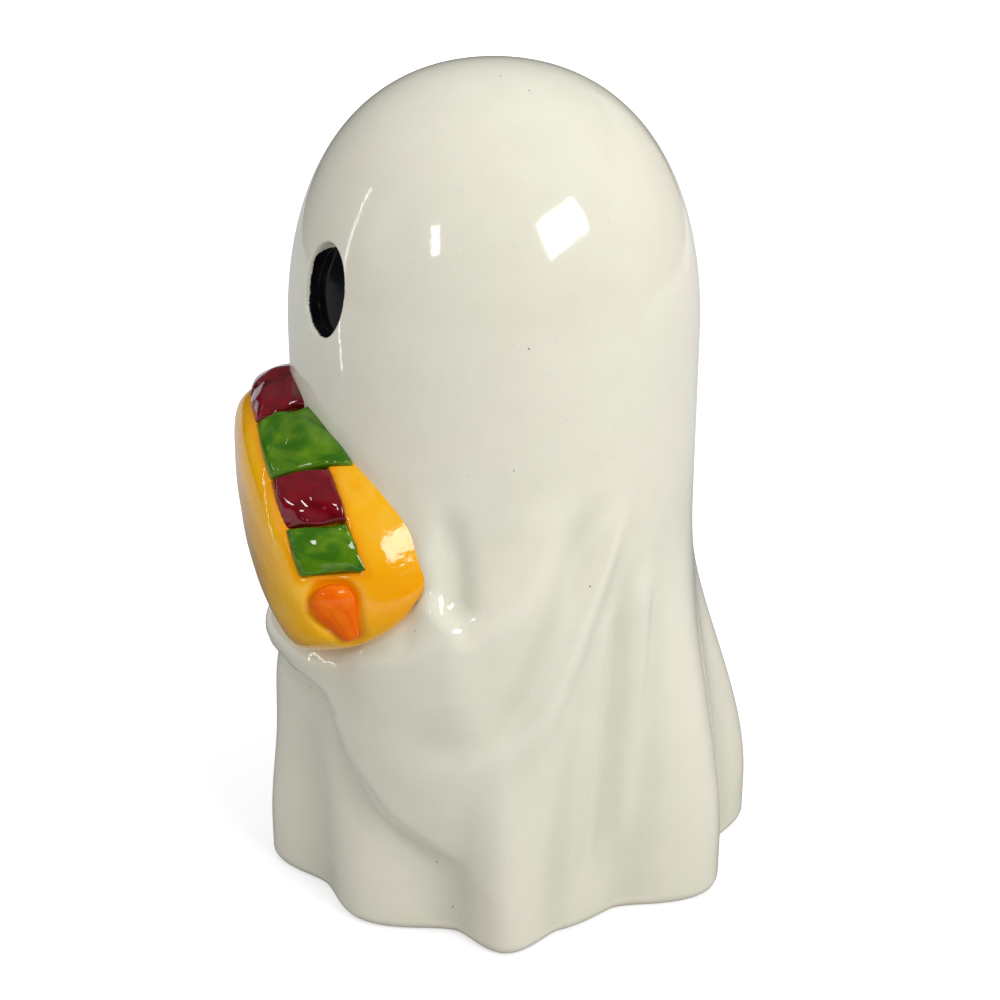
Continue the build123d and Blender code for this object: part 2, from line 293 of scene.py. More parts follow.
def drape(turn, z, sizes):
    """How far the sheet stands off the plain bell, at a turn and a height."""
    side = np.abs(turn)
    rise = hem_folds(side, z, sizes.head_radius) + arm_drape(side, z) + hand_rise(side, z)
    for swell in SWELLS:
        around = bump(side - swell.turn, swell.turn_spread)
        rise += swell.size * around * bump(z - swell.height, swell.height_spread)
    for pleat in PLEATS:
        rise += pleat_rise(pleat, side, z)
    return rise


def body_radius(turn, z, sizes):
    """Distance of the sheet from the axis, at a turn and a height."""
    return dome_radius(z, sizes.head_radius, sizes.height) + drape(turn, z, sizes)


def turns_of(points):
    """Turn of each point round the body, in degrees."""
    return np.degrees(np.arctan2(points[:, 0], -points[:, 1]))


def with_radius(points, radius):
    """Points moved straight out from the axis to a radius."""
    old = np.maximum(np.hypot(points[:, 0], points[:, 1]), 1e-9)
    moved = points.copy()
    moved[:, :2] *= (radius / old)[:, None]
    return moved


# Eye sockets


def eye_axes(side, sizes):
    """Middle of an eye on the dome, and its directions across, up and out."""
    radius, z = dome_curve(EYE_SHARE, sizes.head_radius, sizes.height)
    turn, tilt = radians(side * EYE_TURN), radians(EYE_TILT)
    middle = np.array((radius * sin(turn), -radius * cos(turn), z))
    across = np.array((cos(turn), sin(turn), 0))
    out = np.array((sin(turn) * cos(tilt), -cos(turn) * cos(tilt), sin(tilt)))
    return middle, across, np.cross(out, across), out


def eye_share(points, side, sizes):
    """Place of each point in an eye: 0 at its middle, 1 on the oval, far outside for the back of the body."""
    middle, across, up, out = eye_axes(side, sizes)
    offset = points - middle
    share = np.hypot(offset @ across / (sizes.eye_width / 2), offset @ up / (sizes.eye_length / 2))
    return np.where(offset @ out > -sizes.head_radius / 2, share, 9.0)


def socket_press(share, sizes):
    """Depth of the socket at a place in the eye, with a rounded rim and a steep wall."""
    return sizes.socket_depth * ease((SOCKET_RIM - share) / SOCKET_WALL)


# Modelling helpers


def start_piece(name, add_primitive, **settings):
    """A primitive on its own, selected and named."""
    bpy.ops.object.select_all(action="DESELECT")
    add_primitive(**settings)
    piece = bpy.context.object
    piece.name = name
    piece.data.name = name
    bpy.ops.object.transform_apply(location=True, rotation=True, scale=True)
    return piece


@contextmanager
def editing():
    """Edit mode for the steps inside the block, with everything selected at its start."""
    bpy.ops.object.mode_set(mode="EDIT")
    bpy.ops.mesh.select_all(action="SELECT")
    yield
    bpy.ops.object.mode_set(mode="OBJECT")


def select_faces(piece, test):
    """In edit mode, select the faces whose middles pass a test on an array of places."""
    bpy.ops.mesh.select_mode(type="FACE")
    bpy.ops.mesh.select_all(action="DESELECT")
    mesh = bmesh.from_edit_mesh(piece.data)
    passed = test(np.array([face.calc_center_median() for face in mesh.faces]))
    for face, chosen in zip(mesh.faces, passed):
        face.select_set(bool(chosen))
    bmesh.update_edit_mesh(piece.data)


def points_of(piece):
    """Places of a piece's vertices, one row each."""
    flat = np.empty(3 * len(piece.data.vertices))
    piece.data.vertices.foreach_get("co", flat)
    return flat.reshape(-1, 3)


def place_points(piece, points):
    """Move a piece's vertices to new places."""
    piece.data.vertices.foreach_set("co", points.ravel())
    piece.data.update()


def tidy_faces():
    """In edit mode, close seams and turn all faces outwards."""
    bpy.ops.mesh.select_all(action="SELECT")
    bpy.ops.mesh.remove_doubles(threshold=1e-6)
    bpy.ops.mesh.normals_make_consistent(inside=False)


def apply_modifier(piece, kind, **settings):
    """Add a modifier with its settings and apply it."""
    modifier = piece.modifiers.new(kind.lower(), kind)
    for name, value in settings.items():
        setattr(modifier, name, value)
    bpy.context.view_layer.objects.active = piece
    bpy.ops.object.modifier_apply(modifier=modifier.name)


def store(piece, name, values):
    """Keep a value for each vertex where materials can read it."""
    attribute = piece.data.attributes.new(name, "FLOAT", "POINT")
    attribute.data.foreach_set("value", np.asarray(values, dtype=np.float32))


def face_outwards():
    """Turn all faces of the active piece outwards."""
    with editing():
        bpy.ops.mesh.normals_make_consistent(inside=False)


def select_only(piece):
    """Select one piece alone and make it active."""
    bpy.ops.object.select_all(action="DESELECT")
    piece.select_set(True)
    bpy.context.view_layer.objects.active = piece


def copy_mirrored(piece, name):
    """A copy of a piece with its own mesh, on the other side of the figure."""
    select_only(piece)
    bpy.ops.object.duplicate()
    copy = bpy.context.object
    copy.name = name
    copy.data.name = name
    with editing():
        bpy.ops.transform.resize(value=(-1, 1, 1), center_override=(0, 0, 0))
    face_outwards()
    return copy


def finish_piece(piece, material, node):
    """Smooth a piece, glaze it, and let it stand for its solid."""
    select_only(piece)
    bpy.ops.object.shade_smooth()
    piece.data.materials.clear()
    piece.data.materials.append(material)
    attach(piece, "root")
    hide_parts(node)


def finish_pair(left, name, material):
    """Copy a left piece to the right, and finish both."""
    right = copy_mirrored(left, f"{name}_right_glaze")
    finish_piece(left, material, f"{name}_left")
    finish_piece(right, material, f"{name}_right")


# Materials
GLAZE_IOR = 1.52
SPECK_CORE = 0.45


class Value:
    """A shader socket that takes Python's operators."""

    def __init__(self, tree, socket):
        self.tree = tree
        self.socket = socket

    def math(self, operation, first, second=0.0):
        """Math node on two values, of which each is a number or a socket."""
        node = self.tree.nodes.new("ShaderNodeMath")
        node.operation = operation
        for place, value in zip(node.inputs, (first, second)):
            plug(self.tree, place, value)
        return Value(self.tree, node.outputs[0])

    def __add__(self, other):
        return self.math("ADD", self, other)

    __radd__ = __add__

    def __sub__(self, other):
        return self.math("SUBTRACT", self, other)

    def __rsub__(self, other):
        return self.math("SUBTRACT", other, self)

    def __mul__(self, other):
        return self.math("MULTIPLY", self, other)

    __rmul__ = __mul__

    def __lt__(self, other):
        return self.math("LESS_THAN", self, other)


def plug(tree, place, value):
    """Link a socket to an input, or set the input to a plain value."""
    if isinstance(value, Value):
        tree.links.new(value.socket, place)
    else:
        place.default_value = value


class Network:
    """The nodes of a material or of the world."""

    def __init__(self, owner):
        owner.use_nodes = True
        self.tree = owner.node_tree

    def node(self, kind, output, settings=None, numbered=None, **named):
        """A node of a kind: its settings come first, then its sockets, by number or by name."""
        node = self.tree.nodes.new(kind)
        for name, value in (settings or {}).items():
            setattr(node, name, value)
        for number, value in (numbered or {}).items():
            plug(self.tree, node.inputs[number], value)
        self.fill(node, named)
        return Value(self.tree, node.outputs[output])

    def fill(self, node, named):
        """Set or link a node's sockets, by name with underscores."""
        for name, value in named.items():
            plug(self.tree, node.inputs[name.replace("_", " ")], value)

    def ray(self, kind):
        """1 where the light path is of a kind, such as Is Camera Ray, and 0 elsewhere."""
        return self.node("ShaderNodeLightPath", kind)

    def shown(self, share, first, second, end):
        """Send a mix of two shaders to the output node of a name."""
        mix = self.node("ShaderNodeMixShader", "Shader", None, {0: share, 1: first, 2: second})
        plug(self.tree, self.tree.nodes[end].inputs["Surface"], mix)


class Finish(Network):
    """A material under construction."""

    def __init__(self, name):
        self.material = bpy.data.materials.new(name)
        super().__init__(self.material)
        self.shader = self.tree.nodes["Principled BSDF"]
        self.place = self.node("ShaderNodeTexCoord", "Object")

    def noise(self, size, detail=2.0, place=None, **sockets):
        """Noise from 0 to 1 with features of a size in metres."""
        place = place or self.place
        return self.node("ShaderNodeTexNoise", "Fac", Vector=place, Scale=1 / size, Detail=detail, **sockets)

    def span(self, value, low, high):
        """A value stretched so that low gives 0 and high gives 1."""
        return self.node("ShaderNodeMapRange", "Result", Value=value, From_Min=low, From_Max=high)

    def blend(self, share, first, second):
        """Colour between two colours, each a plain colour or a socket."""
        first, second = (part if isinstance(part, Value) else (*part, 1.0) for part in (first, second))
        return self.node("ShaderNodeMix", 2, {"data_type": "RGBA"}, {0: share, 6: first, 7: second})

    def attribute(self, name):
        """A value stored on the piece's vertices."""
        return self.node("ShaderNodeAttribute", "Fac", {"attribute_name": name})

    def stretched(self, across, along):
        """Coordinates of the piece's own map, stretched for brush strokes."""
        flat = self.node("ShaderNodeUVMap", "UV")
        return self.node("ShaderNodeMapping", "Vector", Vector=flat, Scale=(across, along, 1.0))

    def specks(self, spacing, radius, share):
        """Spots of a radius, one in some of the cells of a spacing."""
        cells = {"Vector": self.place, "Scale": 1 / spacing}
        distance = self.node("ShaderNodeTexVoronoi", "Distance", **cells)
        pick = self.node("ShaderNodeTexVoronoi", "Color", **cells)
        chosen = self.node("ShaderNodeSeparateColor", "Red", Color=pick) < share
        return self.span(distance, radius / spacing, SPECK_CORE * radius / spacing) * chosen

    def relief(self, height, depth):
        """Normal from a height between 0 and 1, with its depth in metres."""
        return self.node("ShaderNodeBump", "Normal", Height=height, Distance=depth, Strength=1.0)

    def glaze(self, colour, roughness, normal, gloss=0.5):
        """Lay the glaze: a glassy skin with a colour, a roughness, a relief and a strength of its gloss."""
        skin = {"IOR": GLAZE_IOR, "Specular_IOR_Level": gloss}
        self.fill(self.shader, {"Base_Color": colour, "Roughness": roughness, "Normal": normal, **skin})
        return self.material


def white_glaze(colours):
    """Off-white glaze, darker in the hollows from pooled glaze and painted shade, with specks and pinholes,
    and bare clay under the foot.
    """
    finish = Finish("white_glaze")
    cloud = finish.span(finish.noise(0.030, 3.0), 0.36, 0.64)
    mottle = finish.span(finish.noise(0.006, 4.0), 0.35, 0.65)
    pool_and_shade = finish.attribute("pool_and_shade")
    # Darker, cooler white in the hollows: painted shade, together with glaze that pools there
    cool = 0.8 * finish.span(pool_and_shade + 0.35 * mottle, 0.1, 1.3)
    colour = finish.blend(0.55 * cloud + 0.2 * mottle, colours.white, colours.white_warm)
    colour = finish.blend(cool, colour, colours.white_pool_shade)
    dots = finish.specks(0.0044, 0.00024, 0.3)
    fine = finish.specks(0.0014, 0.00014, 0.5)
    spots = dots + 0.3 * fine
    colour = finish.blend(spots, colour, colours.speck)
    height = finish.node("ShaderNodeSeparateXYZ", "Z", Vector=finish.place)
    foot = finish.span(height, 0.0006, 0.0001)
    colour = finish.blend(foot, colour, colours.bisque)
    smooth = 0.05 + 0.05 * finish.noise(0.012) + 0.6 * foot
    peel = finish.noise(0.005, 1.0) + 0.25 * finish.noise(0.0012, 2.0) - 1.5 * dots
    return finish.glaze(colour, smooth, finish.relief(peel, 0.00004))


def black_glaze(colours):
    """Black glaze with faint brush marks."""
    finish = Finish("black_glaze")
    streak = finish.noise(0.003, 3.0)
    grey = tuple(2.2 * part for part in colours.black)
    colour = finish.blend(finish.span(streak, 0.4, 0.75), colours.black, grey)
    return finish.glaze(colour, 0.06 + 0.1 * streak, finish.relief(finish.noise(0.004), 0.00004), 0.12)


def yellow_glaze(colours):
    """Golden glaze of the shell, brushed on unevenly, deeper where it pools along the channel, and with
    painted shade round the cheese and on the lower bulbs.
    """
    finish = Finish("yellow_glaze")
    cloud = finish.span(finish.noise(0.014, 3.0), 0.35, 0.65)
    brush = finish.span(finish.noise(0.0035, 4.0, Distortion=0.6), 0.42, 0.70)
    pool_and_shade = finish.attribute("pool_and_shade")
    colour = finish.blend(0.45 * cloud, colours.yellow, colours.yellow_deep)
    colour = finish.blend(0.5 * brush * (1 - pool_and_shade), colour, colours.yellow_pale)
    # Deeper yellow: glaze pooled along the channel, and painted shade in the hollows round the cheese and on
    # the lower bulbs
    colour = finish.blend(finish.span(pool_and_shade, 0.1, 1.0), colour, colours.yellow_deep)
    colour = finish.blend(0.6 * finish.specks(0.009, 0.00028, 0.3), colour, colours.speck)
    smooth = 0.05 + 0.07 * finish.noise(0.006)
    peel = finish.noise(0.004, 2.0) + 0.3 * finish.noise(0.001, 2.0)
    return finish.glaze(colour, smooth, finish.relief(peel, 0.00008), 0.5)


def brushed_glaze(name, colours, base, other, strength, lump, depth, gloss):
    """Glaze of a filling piece, brushed on so that the strokes show, over lumps of a size and a depth."""
    finish = Finish(name)
    strokes = finish.noise(0.25, 4.0, finish.stretched(1.3, 0.8), Distortion=0.8)
    cloud = finish.noise(0.004, 3.0)
    share = strength * finish.span(strokes + 0.5 * cloud, 0.62, 1.0)
    colour = finish.blend(share, getattr(colours, base), getattr(colours, other))
    smooth = 0.02 + 0.03 * cloud
    peel = finish.noise(lump, 0.0) + 0.03 * strokes
    return finish.glaze(colour, smooth, finish.relief(peel, depth), gloss)


# Operators, one for each piece or group of like pieces


class GHOST_OT_body(bpy.types.Operator):
    """Model the draped body with its eye sockets"""

    bl_idname = "ghost.body"
    bl_label = "Body"

    def execute(self, context):
        sizes = context.scene.ghost_sizes
        body = self.spin_bell(sizes)
        self.refine_eyes(body, sizes)
        points = points_of(body)
        turn, z = turns_of(points), points[:, 2]
        spun = np.hypot(points[:, 0], points[:, 1])
        on_wall = z > HEM_ROUND * 1.001
        radius = np.where(on_wall, dome_radius(z, sizes.head_radius, sizes.height), spun)
        share = np.clip(radius / (sizes.head_radius - HEM_ROUND), 0, 1)
        crown = z > sizes.height - CROWN_FLAT
        radius = np.where(crown, spun, radius + share * drape(turn, z, sizes))
        points = with_radius(points, radius)
        for side in (-1, 1):
            depth = socket_press(eye_share(points, side, sizes), sizes)
            points = points - depth[:, None] * eye_axes(side, sizes)[3]
        place_points(body, points)
        # How far each place lies in a hollow, kept for the painted shade and the pooled glaze there
        around = [
            drape(turn + step, z + rise, sizes)
            for step in (-POOL_TURN, POOL_TURN)
            for rise in (-POOL_REACH, POOL_REACH)
        ]
        hollow = (sum(around) / len(around) - drape(turn, z, sizes)) / POOL_DEPTH
        store(body, "pool_and_shade", np.clip(hollow, 0, 1) * on_wall)
        self.cut_vent(body)
        finish_piece(body, white_glaze(context.scene.ghost_colours), "ghost_body")
        return {"FINISHED"}

    def spin_bell(self, sizes):
        """A plain bell: half a circle drawn into the outline and spun round the axis."""
        foot = sizes.head_radius - HEM_ROUND
        shoulder = sizes.height - DOME_HEIGHT
        outline = [(foot * row / BASE_ROWS, 0) for row in range(BASE_ROWS)]
        for row in range(HEM_ROWS):
            corner = pi / 2 * row / HEM_ROWS
            outline.append((foot + HEM_ROUND * sin(corner), HEM_ROUND * (1 - cos(corner))))
        for row in range(SHEET_ROWS):
            outline.append((sizes.head_radius, HEM_ROUND + (shoulder - HEM_ROUND) * row / SHEET_ROWS))
        for row in range(DOME_ROWS + 1):
            z = shoulder + DOME_HEIGHT * sin(pi / 2 * row / DOME_ROWS)
            outline.append((float(dome_radius(z, sizes.head_radius, sizes.height)), z))
        rows = len(outline) - 1
        bell = start_piece(
            "sheet_body",
            bpy.ops.mesh.primitive_circle_add,
            vertices=2 * rows,
            radius=sizes.head_radius,
            rotation=(pi / 2, 0, 0),
        )
        with editing():
            bpy.ops.mesh.bisect(plane_co=(0, 0, 0), plane_no=(1, 0, 0), clear_inner=True, threshold=1e-6)
        points = points_of(bell)
        row = np.rint(np.arccos(np.clip(-points[:, 2] / sizes.head_radius, -1, 1)) / pi * rows).astype(int)
        drawn = np.array(outline)[row]
        place_points(bell, np.stack((drawn[:, 0], np.zeros(len(row)), drawn[:, 1]), axis=1))
        with editing():
            bpy.ops.mesh.spin(steps=SPIN_STEPS, angle=2 * pi, center=(0, 0, 0), axis=(0, 0, 1))
            tidy_faces()
        return bell

    def refine_eyes(self, body, sizes):
        """Finer faces round the eyes, for the rims of the sockets."""

        def near_eye(places):
            return np.minimum(eye_share(places, -1, sizes), eye_share(places, 1, sizes)) < EYE_ZONE

        with editing():
            select_faces(body, near_eye)
            bpy.ops.mesh.subdivide(number_cuts=3)

    def cut_vent(self, body):
        """Drill the small vent for the kiln through the foot, behind the axis."""
        vent = start_piece(
            "vent_drill",
            bpy.ops.mesh.primitive_cylinder_add,
            vertices=48,
            radius=VENT_RADIUS,
            depth=VENT_LENGTH,
            location=(0, VENT_BACK, 0),
        )
        apply_modifier(body, "BOOLEAN", object=vent, operation="DIFFERENCE", solver="EXACT")
        bpy.data.objects.remove(vent)


class GHOST_OT_eyes(bpy.types.Operator):
    """Model the black glaze that lines each eye socket"""

    bl_idname = "ghost.eyes"
    bl_label = "Eyes"

    def execute(self, context):
        sizes = context.scene.ghost_sizes
        left = start_piece(
            "eye_left_glaze", bpy.ops.mesh.primitive_circle_add, vertices=128, radius=1, fill_type="NGON"
        )
        with editing():
            for thickness in EYE_INSETS:
                bpy.ops.mesh.inset(thickness=thickness)
            bpy.ops.mesh.poke()
        place_points(left, self.lay_in_socket(points_of(left), sizes))
        with editing():
            tidy_faces()
        if left.data.polygons[0].normal.dot(Vector(eye_axes(1, sizes)[3])) < 0:
            left.data.flip_normals()
        apply_modifier(left, "SOLIDIFY", thickness=EYE_THICKNESS, offset=-1.0)
        finish_pair(left, "eye", black_glaze(context.scene.ghost_colours))
        return {"FINISHED"}

    def lay_in_socket(self, flat, sizes):
        """Points of a flat disc laid on the socket of the left eye, up to a painted edge on its wall."""
        middle, across, up, out = eye_axes(1, sizes)
        angle = np.arctan2(flat[:, 1], flat[:, 0])
        bare = BARE_DEPTH * bump(angle - BARE_ANGLE, BARE_SPREAD)
        strokes = np.sin(5 * angle + 2) + np.sin(17 * angle) * np.sin(29 * angle + 1)
        edge = 1 - bare + EDGE_STROKE * strokes
        flat = flat[:, :2] * edge[:, None]
        points = middle + np.outer(flat[:, 0] * sizes.eye_width / 2, across)
        points = points + np.outer(flat[:, 1] * sizes.eye_length / 2, up)
        points = with_radius(points, dome_radius(points[:, 2], sizes.head_radius, sizes.height))
        share = eye_share(points, 1, sizes)
        coat = EYE_COAT * ease((edge - np.hypot(flat[:, 0], flat[:, 1])) / COAT_FADE) - EYE_EDGE
        return points - np.outer(socket_press(share, sizes) - coat, out)


def taco_places(points, sizes):
    """Rim angle of each point, and its distances from the middles of the ball and of the domed front."""
    ball = points - np.array((0, -TACO_MIDDLE, TACO_HEIGHT))
    dome = points - np.array((0, BULGE_RADIUS - sizes.taco_front, BULGE_HEIGHT))
    angle = np.degrees(np.arctan2(ball[:, 0], ball[:, 2]))
    return angle, np.linalg.norm(ball, axis=1), np.linalg.norm(dome, axis=1)


def rim_point(angle, across, height, sizes):
    """Point over the rim at a rim angle, a distance behind the domed front and a height over the ball."""
    ball = sizes.taco_radius + height
    y = np.full_like(angle, RIM_GUESS)
    turn = np.radians(angle)
    for _ in range(RIM_STEPS):
        rim = np.sqrt(ball**2 - (y + TACO_MIDDLE) ** 2)
        x, z = rim * np.sin(turn), TACO_HEIGHT + rim * np.cos(turn)
        depth = np.sqrt((BULGE_RADIUS - across) ** 2 - x**2 - (z - BULGE_HEIGHT) ** 2)
        y = 0.5 * y + 0.5 * (BULGE_RADIUS - sizes.taco_front - depth)
    return np.stack((x, y, z), axis=1)


def cheese_axes(side, sizes):
    """Middle of a piece of cheese, and its directions back, up and out."""
    reach = sqrt(sizes.taco_radius**2 - (CHEESE_MIDDLE - TACO_MIDDLE) ** 2 - CHEESE_RISE**2)
    middle = np.array((side * (reach - CHEESE_INSET), -CHEESE_MIDDLE, TACO_HEIGHT + CHEESE_RISE))
    tilt = radians(CHEESE_TILT)
    out = np.array((side * cos(tilt), 0, -sin(tilt)))
    up = np.array((side * sin(tilt), 0, cos(tilt)))
    return middle, np.array((0, 1, 0)), up, out


def cheese_gap(points, side, sizes):
    """Distance of each point outside the outline of a piece of cheese, seen from its side."""
    middle, back, up, out = cheese_axes(side, sizes)
    offset = points - middle
    flat = np.stack((offset @ back, offset @ up), axis=1)
    (head, head_radius), (tip, tip_radius) = CHEESE_ROUNDS
    line = np.subtract(tip, head)
    share = np.clip((flat - head) @ line / (line @ line), 0, 1)
    near = head + share[:, None] * line
    gap = np.linalg.norm(flat - near, axis=1) - (head_radius + (tip_radius - head_radius) * share)
    return np.where(offset @ out > -CHEESE_BACK, gap, 1.0)


def cheese_moat(points, side, sizes):
    """Depth share of the hollow that the cheese lies in, widest in front of it and below it."""
    return 1 - ease((cheese_gap(points, side, sizes) + MOAT_START) / MOAT_WIDTH)


class GHOST_OT_taco(bpy.types.Operator):
    """Model the folded taco shell with its channel for the filling"""

    bl_idname = "ghost.taco"
    bl_label = "Taco shell"

    def execute(self, context):
        sizes = context.scene.ghost_sizes
        shell = start_piece(
            "taco_shell_glaze",
            bpy.ops.mesh.primitive_uv_sphere_add,
            segments=320,
            ring_count=220,
            radius=sizes.taco_radius,
            rotation=(pi / 2, 0, 0),
        )
        points = self.overlap_of_forms(points_of(shell), sizes)
        points, bulb = self.swell_ends(points)
        points, pool_and_shade = self.press_channel(points, sizes)
        points = self.wrap_round_body(points, sizes)
        place_points(shell, points)
        face_outwards()
        # Deeper yellow along the channel is pooled glaze; round the cheese and on the lower bulbs it is
        # painted shade
        store(shell, "pool_and_shade", np.clip(pool_and_shade + BULB_SHADE_SHARE * bulb, 0, 1))
        finish_piece(shell, yellow_glaze(context.scene.ghost_colours), "taco_shell")
        return {"FINISHED"}

    def overlap_of_forms(self, directions, sizes):
        """Push a ball of points out to where the ball of the rim, the domed front and the fold overlap."""
        directions = directions / np.linalg.norm(directions, axis=1)[:, None]
        heart = np.array(TACO_HEART)
        fold_radius = (sizes.taco_radius**2 + TACO_SAG**2) / (2 * TACO_SAG)
        forms = (
            ((0, -TACO_MIDDLE, TACO_HEIGHT), sizes.taco_radius, (1, 1, 1)),
            ((0, BULGE_RADIUS - sizes.taco_front, BULGE_HEIGHT), BULGE_RADIUS, (1, 1, 1)),
            ((0, 0, TACO_HEIGHT - TACO_SAG + fold_radius), fold_radius, (1, 0, 1)),
        )
        total = np.zeros(len(directions))
        for normal, distance in TACO_TRIMS:
            toward = np.maximum(directions @ np.array(normal), 0) / sqrt(2)
            total += (TACO_UNIT * toward / distance) ** TACO_SOFTNESS
        for middle, radius, axes in forms:
            start = (heart - middle) * axes
            ray = directions * axes
            square = np.maximum((ray**2).sum(axis=1), 1e-9)
            half = ray @ start / square
            reach = -half + np.sqrt(half**2 - (start @ start - radius**2) / square)
            total += (TACO_UNIT / reach) ** TACO_SOFTNESS
        return heart + directions * (TACO_UNIT * total ** (-1 / TACO_SOFTNESS))[:, None]

    def swell_ends(self, points):
        """Swell the lower ends behind the cheese, where the shell bulges round to the body."""
        # The map of the bulbs is kept for the painted shade on them
        bulb = np.zeros(len(points))
        for side in (-1, 1):
            flip = np.array((side, 1, 1))
            for part in (BULB, BROW):
                swell = bump(np.linalg.norm(points - flip * part.middle, axis=1), part.spread)
                points = points + np.outer(part.size * swell, flip * part.way)
                bulb = np.maximum(bulb, swell) if part is BULB else bulb
        return points, bulb

    def press_channel(self, points, sizes):
        """Press the channel for the filling and a pocket for each piece of cheese into the rim."""
        angle, ball, dome = taco_places(points, sizes)
        behind = BULGE_RADIUS - dome
        end = BLOCKS["lettuce_lower"].end
        inside = np.minimum(behind - sizes.filling_lip, sizes.filling_lip + sizes.filling_width - behind)
        along = np.radians(end - np.abs(angle)) * sizes.taco_radius
        on_rim = ease((ball - sizes.taco_radius + RIM_DEPTH) / RIM_EASE)
        from_edge = np.minimum(inside, along)
        channel = ease(from_edge / CHANNEL_EASE) * on_rim
        moat = np.zeros(len(points))
        for side in (-1, 1):
            moat = np.maximum(moat, cheese_moat(points, side, sizes))
        away = (points - np.array((0, -TACO_MIDDLE, TACO_HEIGHT))) / ball[:, None]
        points = points - away * (CHANNEL_DEPTH * channel + MOAT_DEPTH * moat)[:, None]
        x, y, z = points.T
        wobble = np.sin(420 * z + 300 * x) * np.sin(350 * y - 260 * z + 1)
        points = points + away * (WOBBLE * wobble)[:, None]
        # The hollow round the cheese also gets the deeper yellow, as painted shade
        edge = bump(from_edge, CHANNEL_POOL) * on_rim
        return points, np.clip(CHANNEL_POOL_SHARE * edge + moat, 0, 1)

    def wrap_round_body(self, points, sizes):
        """Let the back of the taco follow the front of the body, just under its surface."""
        front = points.copy()
        for _ in range(WRAP_STEPS):
            reach = body_radius(turns_of(front), front[:, 2], sizes) - TACO_UNDER
            front[:, 1] = -np.sqrt(np.maximum(reach**2 - front[:, 0] ** 2, 1e-6))
        points[:, 1] = np.minimum(points[:, 1], front[:, 1])
        return points


class GHOST_OT_filling(bpy.types.Operator):
    """Model the tomato and lettuce along the rim of the taco"""

    bl_idname = "ghost.filling"
    bl_label = "Filling"

    def execute(self, context):
        sizes, colours = context.scene.ghost_sizes, context.scene.ghost_colours
        red = brushed_glaze("red_glaze", colours, "red_deep", "red", 1.0, 0.0042, 0.0020, 0.7)
        green = brushed_glaze("green_glaze", colours, "green", "green_pale", 0.75, 0.0060, 0.0022, 0.5)
        start = BLOCKS["tomato_top"].end
        top = self.model_block("tomato_top_glaze", -start, BLOCKS["tomato_top"], sizes)
        finish_piece(top, red, "tomato_top")
        for name in ("lettuce_upper", "tomato_side", "lettuce_lower"):
            block = BLOCKS[name]
            left = self.model_block(f"{name}_left_glaze", start, block, sizes)
            material, slot = (green, "green_glaze") if block.ruffle else (red, "red_glaze")
            finish_pair(left, name, material)
            start = block.end
        return {"FINISHED"}

    def model_block(self, name, start, block, sizes):
        """A puffed block from a rim angle to its own end, with its foot in the channel."""
        piece = start_piece(
            name, bpy.ops.mesh.primitive_grid_add, x_subdivisions=64, y_subdivisions=44, size=2, calc_uvs=True
        )
        with editing():
            bpy.ops.mesh.extrude_region_move(TRANSFORM_OT_translate={"value": (0, 0, 1)})
        flat = points_of(piece)
        along = np.sin(pi / 2 * np.clip(flat[:, 0], -1, 1))
        across = np.sin(pi / 2 * np.clip(flat[:, 1], -1, 1))
        half_angle = (block.end - start) / 2
        half_length = radians(half_angle) * sizes.taco_radius
        half_width = sizes.filling_width / 2
        uneven = 1 - 0.035 * (1 + np.sin(3.1 * across + start)) * np.abs(along) ** 3
        angle = (start + block.end) / 2 + half_angle * along * uneven
        to_end = (1 - np.abs(along)) * half_length
        to_side = (1 - np.abs(across)) * half_width
        fall = self.edge_fall(to_end) + self.edge_fall(to_side)
        over_top = start < 0
        crown = (TOP_CROWN if over_top else SIDE_CROWN) * (1 - along**4) * (1 - across**4)
        frill = np.sin(1.6 * pi * across + 0.8 * np.sin(3 * along)) * np.sin(2.4 * along + 1)
        lumps = np.sin(5.1 * along + 2.2 * across + start) * np.sin(4.7 * across - 1.9 * along + 0.4 * start)
        waves = RUFFLE * block.ruffle * frill + LUMP * lumps
        from_top = np.radians(angle) * sizes.taco_radius
        crease = CREASE_DEPTH * bump(from_top, CREASE_SPREAD) if over_top else 0.0
        slope = block.lean * (across - along * (1 - across)) / 2
        height = sizes.filling_proud + crown + slope + waves - fall - crease
        height = np.where(flat[:, 2] > 0.5, height, -BLOCK_FOOT)
        sway = 1 + 0.03 * np.sin(2.3 * along + 1)
        behind = sizes.filling_lip + half_width + (half_width + BLOCK_SEAM) * across * sway
        leaf = (1 + along) / 2 * np.maximum(across, 0)
        behind = behind + block.spread * leaf
        points = rim_point(angle, behind, height, sizes)
        turn, z = turns_of(points), points[:, 2]
        radius = np.hypot(points[:, 0], points[:, 1])
        points = with_radius(points, np.maximum(radius, body_radius(turn, z, sizes) - BLOCK_UNDER))
        place_points(piece, points)
        face_outwards()
        return piece

    def edge_fall(self, distance):
        """Drop of a block's rounded edge at a distance from it."""
        short = np.clip(BLOCK_ROUND - distance, 0, BLOCK_ROUND)
        return BLOCK_ROUND - np.sqrt(BLOCK_ROUND**2 - short**2)


